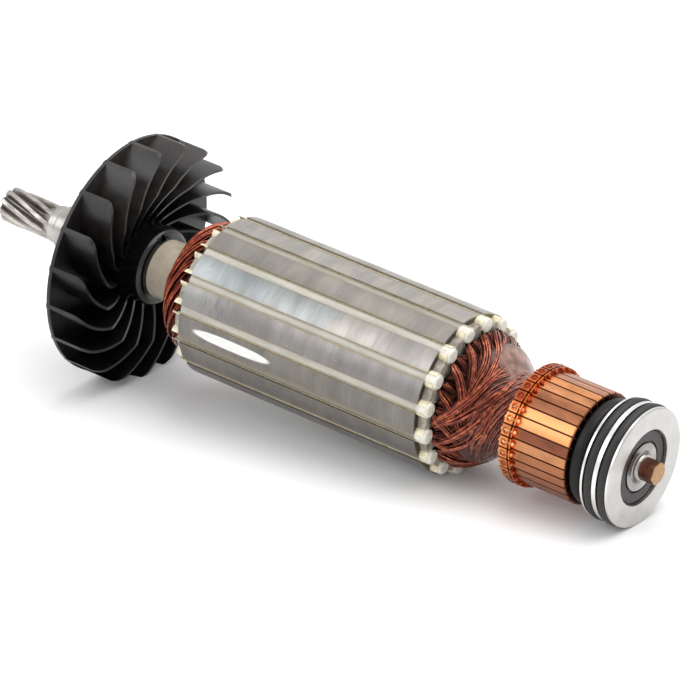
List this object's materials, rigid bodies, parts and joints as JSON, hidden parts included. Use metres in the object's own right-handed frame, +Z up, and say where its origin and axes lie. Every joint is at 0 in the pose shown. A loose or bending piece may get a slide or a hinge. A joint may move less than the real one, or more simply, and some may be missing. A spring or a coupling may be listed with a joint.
{
  "type": "motor armature",
  "caption": "Universal-motor armature with a helical pinion, cooling fan, slotted and wound core, commutator and a sealed rear bearing in an O-ringed aluminium carrier.",
  "frame": {"origin": "centre of the front face of the rear bearing's carrier, on the shaft's axis", "axes": "+X along the shaft, from the pinion towards the rear bearing; +Z up as it lies in the picture"},
  "size_m": [0.2634, 0.0824, 0.0824],
  "materials": {
    "turned_aluminium": "turned and polished",
    "o_ring_rubber": "matt",
    "bearing_steel": "ground",
    "seal_rubber": "satin",
    "cage_plastic": "satin",
    "shaft_steel": "ground",
    "stub_steel": "bronze-tinted plating",
    "sleeve_plastic": "satin",
    "fan_plastic": "satin moulded",
    "core_steel": "turned stack of sheets",
    "spider_fibre": "resin-coated",
    "slot_paper": "resin-coated",
    "slot_rod": "resin-coated",
    "winding_copper": "enamelled copper wire",
    "winding_resin": "glossy resin over wire",
    "bar_copper": "turned copper",
    "bar_mica": "matt",
    "moulding_resin": "matt",
    "disc_rubber": "satin"
  },
  "bodies": {
    "bearing_housing": {"bearing_carrier": "turned_aluminium", "o_ring_front": "o_ring_rubber", "o_ring_rear": "o_ring_rubber", "bearing_outer_ring": "bearing_steel", "bearing_seal_front": "seal_rubber", "bearing_seal_rear": "seal_rubber"},
    "ball_set": {"bearing_balls": "bearing_steel", "bearing_cage": "cage_plastic"},
    "rotor": {"bearing_inner_ring": "bearing_steel", "shaft": "shaft_steel", "end_stub": "stub_steel", "shaft_sleeve": "sleeve_plastic", "fan": "fan_plastic", "core_laminations": "core_steel", "spider_drive_end": "spider_fibre", "spider_commutator_end": "spider_fibre", "slot_liners": "slot_paper", "slot_rods": "slot_rod", "slot_conductors": "winding_copper", "winding_drive_end": "winding_copper", "winding_commutator_end": "winding_copper", "lead_band": "winding_resin", "commutator_bars": "bar_copper", "commutator_mica": "bar_mica", "commutator_moulding": "moulding_resin", "commutator_bush": "bearing_steel", "riser_leads": "winding_copper", "rubber_disc": "disc_rubber"}
  },
  "joints": [
    {"name": "rotor_spin", "type": "hinge", "parent": "bearing_housing", "child": "rotor", "pos_m": [0, 0, 0], "axis": [1, 0, 0], "continuous": true},
    {"name": "ball_set_spin", "type": "hinge", "parent": "bearing_housing", "child": "ball_set", "pos_m": [0, 0, 0], "axis": [1, 0, 0], "continuous": true}
  ],
  "couplings": [
    {"joint": "ball_set_spin", "follows": "rotor_spin", "ratio": 0.38095}
  ]
}
